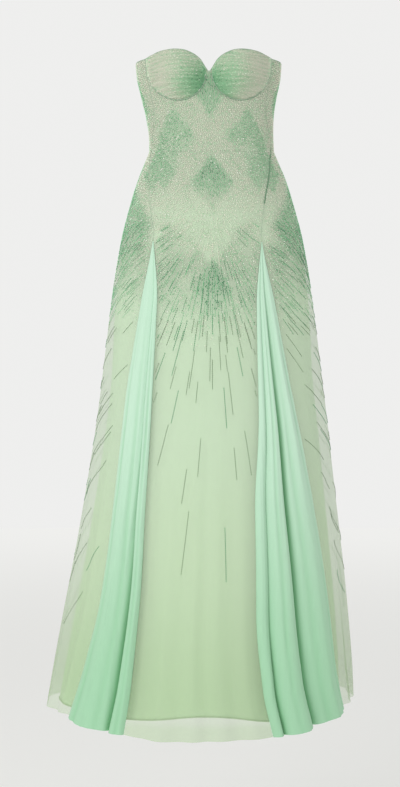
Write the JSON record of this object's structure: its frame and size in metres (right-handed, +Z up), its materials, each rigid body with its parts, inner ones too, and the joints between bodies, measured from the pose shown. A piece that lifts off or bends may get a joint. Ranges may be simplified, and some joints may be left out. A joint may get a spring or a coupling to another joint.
{
  "type": "strapless beaded evening gown",
  "caption": "Strapless evening gown with cups, boned bodice, flared sheer skirt, chiffon godets, lining and centre-back zip, worn and hollow.",
  "frame": {"origin": "centre of the waist section, where the boned bodice grips the wearer", "axes": "+Z up along the body, -Y out of the gown's front, +X to the right as seen from the front"},
  "size_m": [0.6521, 0.5927, 1.3941],
  "materials": {
    "beaded_tulle": "sheer tulle sewn all over with small glass beads",
    "cup_tulle": "beaded tulle draped over moulded cups",
    "mint_chiffon": "soft matt chiffon",
    "lining": "smooth matt lining",
    "zip_metal": "satin lacquered metal"
  },
  "bodies": {
    "gown": {"front_gore": "beaded_tulle", "side_gore_left": "beaded_tulle", "side_gore_right": "beaded_tulle", "back_gore_left": "beaded_tulle", "back_gore_right": "beaded_tulle", "cup_left": "cup_tulle", "cup_right": "cup_tulle", "godet_left": "mint_chiffon", "godet_right": "mint_chiffon", "lining_front": "lining", "lining_back": "lining", "zip_slider": "zip_metal"},
    "pull": {"zip_pull": "zip_metal"}
  },
  "joints": [
    {"name": "pull_hinge", "type": "hinge", "parent": "gown", "child": "pull", "pos_m": [-0.00593, 0.0948, 0.143], "axis": [1, 0, 0], "range_deg": [-8, 165]}
  ]
}
